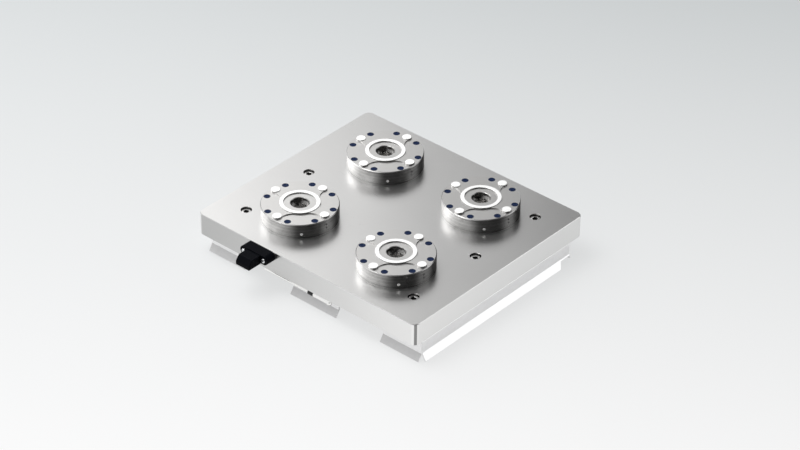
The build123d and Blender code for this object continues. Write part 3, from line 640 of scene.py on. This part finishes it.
def step(inwards, upwards):
    """Insets the selected face and raises or sinks it."""
    bpy.ops.mesh.inset(thickness=inwards, depth=upwards)


def extend(length):
    """Draws the selected face out downwards."""
    bpy.ops.mesh.extrude_region_move(TRANSFORM_OT_translate={"value": (0, 0, -length)})


def leave_edit(piece):
    """Ends the shaping: doubles merged, faces outwards, curved faces smooth."""
    bpy.ops.mesh.select_all(action="SELECT")
    bpy.ops.mesh.remove_doubles(threshold=0.001 * MM)
    bpy.ops.mesh.normals_make_consistent(inside=False)
    bpy.ops.object.mode_set(mode="OBJECT")
    bpy.ops.object.shade_smooth_by_angle(angle=radians(35))
    piece.select_set(False)


def cut_out(piece, tool):
    """Cuts the newest primitive's shape out of a piece in object mode."""
    change = piece.modifiers.new("cut", "BOOLEAN")
    change.operation = "DIFFERENCE"
    change.solver = "EXACT"
    change.object = tool
    bpy.ops.object.select_all(action="DESELECT")
    bpy.context.view_layer.objects.active = piece
    piece.select_set(True)
    bpy.ops.object.modifier_apply(modifier="cut")
    bpy.data.objects.remove(tool)


def cut_socket(piece, flats, depth):
    """Hexagon socket in the top of a piece, with a small chamfer at its mouth."""
    corner = flats / 2 / cos(pi / 6)
    bpy.ops.object.mode_set(mode="OBJECT")
    bpy.ops.mesh.primitive_cylinder_add(vertices=6, radius=corner, depth=2 * depth, location=(0, 0, 0))
    cut_out(piece, bpy.context.object)
    bpy.ops.object.mode_set(mode="EDIT")
    pick_rim(piece, 0, flats / 2 - 0.1 * MM, corner + 0.1 * MM)
    bpy.ops.mesh.bevel(offset=0.06 * flats, segments=1, affect="EDGES")


def set_out(pattern, places, finish, stands_for):
    """Puts a copy of a finished pattern on the plate at each place, and takes the pattern away."""
    for number, place in enumerate(places, 1):
        copy = pattern.copy()
        copy.data = pattern.data.copy()
        copy.name = f"{pattern.name}_{number}"
        bpy.context.scene.collection.objects.link(copy)
        copy.data.transform(place)
        copy.data.materials.append(finish)
        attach(copy, "plate")
        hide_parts(stands_for)
    bpy.data.objects.remove(pattern)


def polar(radius, angle):
    """Point in plan at a radius and an angle in degrees."""
    return radius * cos(radians(angle)), radius * sin(radians(angle))


def outwards(x, y, z, direction):
    """Place whose own up points along a direction."""
    return Matrix.Translation((x, y, z)) @ Vector(direction).to_track_quat("Z", "Y").to_matrix().to_4x4()


# Screw caps

cap_circle = 55 * MM
caps_per_unit = 8

# Steps inwards and upwards over the top, in mm
cap_profile = ((1.3, 0), (0.2, -0.2), (0.5, 0), (0.2, 0.2), (0.7, 0), (0.4, -0.4))


def make_screw_caps():
    """Moulded caps in the screws' counterbores: rounded rim, shallow groove and a dish to lift them by."""
    radius = 5.45 * MM
    thickness = 4 * MM
    rounding = 0.35 * MM
    cap = round_blank("screw_cap", radius, thickness, 48)
    round_rim(cap, 0, radius, rounding, 3)
    pick_end(cap, 1)
    for inwards, upwards in cap_profile:
        step(inwards * MM, upwards * MM)
    leave_edit(cap)
    places = []
    for x, y in unit_places.values():
        for index in range(caps_per_unit):
            dx, dy = polar(cap_circle, 360 / caps_per_unit * (index + 0.5))
            places.append(Matrix.Translation((x + dx, y + dy, face_z)))
    set_out(cap, places, cap_plastic, "screw_caps")


# Plate screws

def make_plate_screws():
    """Socket head screws sunk in the plate: chamfered and knurled heads, shanks down into the feet."""
    radius = 8 * MM
    head = 10 * MM
    shank_radius = 5 * MM
    shank_length = 40.2 * MM
    socket_flats = 8 * MM
    socket_depth = 5 * MM
    top = plate_top - 2.8 * MM
    screw = round_blank("plate_screw", radius, head, 72)
    round_rim(screw, 0, radius, 0.8 * MM, 2)
    pick(screw, "FACE", lambda face: abs(face.normal.z) < 0.1)
    bpy.ops.mesh.inset(thickness=0.1 * MM, depth=-0.12 * MM, use_individual=True)
    pick_end(screw, -1)
    step(radius - shank_radius, 0)
    extend(shank_length)
    cut_socket(screw, socket_flats, socket_depth)
    leave_edit(screw)
    places = [
        Matrix.Translation((x * MM, y * MM, top)) @ Matrix.Rotation(radians(17 * x + 7 * y), 4, "Z")
        for x in (-screw_column, screw_column)
        for y in (-screw_row, 0, screw_row)
    ]
    set_out(screw, places, screw_steel, "plate_screws")


# Connector screws

connector_x = -86.9 * MM
connector_z = 63.9 * MM
ear_offset = 20.8 * MM
ear_front_y = -219 * MM


def make_connector_screws():
    """Slotted pan head screws through the connector's ears."""
    radius = 3.6 * MM
    height = 1.8 * MM
    shank_radius = 2 * MM
    shank_length = 28 * MM
    slot_size = (9 * MM, 1 * MM, 2 * MM)
    screw = round_blank("connector_screw", radius, height, 48)
    round_rim(screw, 0, radius, 1.0 * MM, 4)
    pick_end(screw, -1)
    step(radius - shank_radius, 0)
    extend(shank_length)
    bpy.ops.object.mode_set(mode="OBJECT")
    bpy.ops.mesh.primitive_cube_add(size=1, location=(0, 0, 0), scale=slot_size)
    cut_out(screw, bpy.context.object)
    bpy.ops.object.mode_set(mode="EDIT")
    leave_edit(screw)
    front = ear_front_y - height
    places = [outwards(connector_x + side * ear_offset, front, connector_z, (0, -1, 0)) for side in (-1, 1)]
    set_out(screw, places, zinc_steel, "connector_screws")


# Plugs

def make_plug(name, radius, length, flats, depth):
    """Threaded plug with a chamfered end and a hexagon socket."""
    plug = round_blank(name, radius, length, 48)
    round_rim(plug, 0, radius, 0.08 * radius, 2)
    cut_socket(plug, flats, depth)
    leave_edit(plug)
    return plug


def make_side_plugs():
    """Plugs of the check ports in the clamping units' sides."""
    plug = make_plug("side_plug", radius=2.3 * MM, length=5.7 * MM, flats=2.0 * MM, depth=1.5 * MM)
    sunk = 0.3 * MM
    port_z = face_z - 17.0 * MM
    dx, dy = polar(unit_radius - sunk, -45)
    places = [outwards(x + dx, y + dy, port_z, (1, -1, 0)) for x, y in unit_places.values()]
    set_out(plug, places, plug_white, "side_plugs")


def make_gallery_plugs():
    """Plugs in the drilled ends of the air galleries."""
    plug = make_plug("gallery_plug", radius=4.95 * MM, length=7.5 * MM, flats=5 * MM, depth=4 * MM)
    sunk = 0.5 * MM
    gallery_z = 53 * MM
    supply_x = 46 * MM
    left = sunk - plate_half_length
    places = [outwards(left, y, gallery_z, (-1, 0, 0)) for y in (-unit_offset, unit_offset)]
    places.append(outwards(supply_x, plate_half_width - sunk, gallery_z, (0, 1, 0)))
    set_out(plug, places, zinc_steel, "gallery_plugs")


make_screw_caps()
make_plate_screws()
make_connector_screws()
make_side_plugs()
make_gallery_plugs()
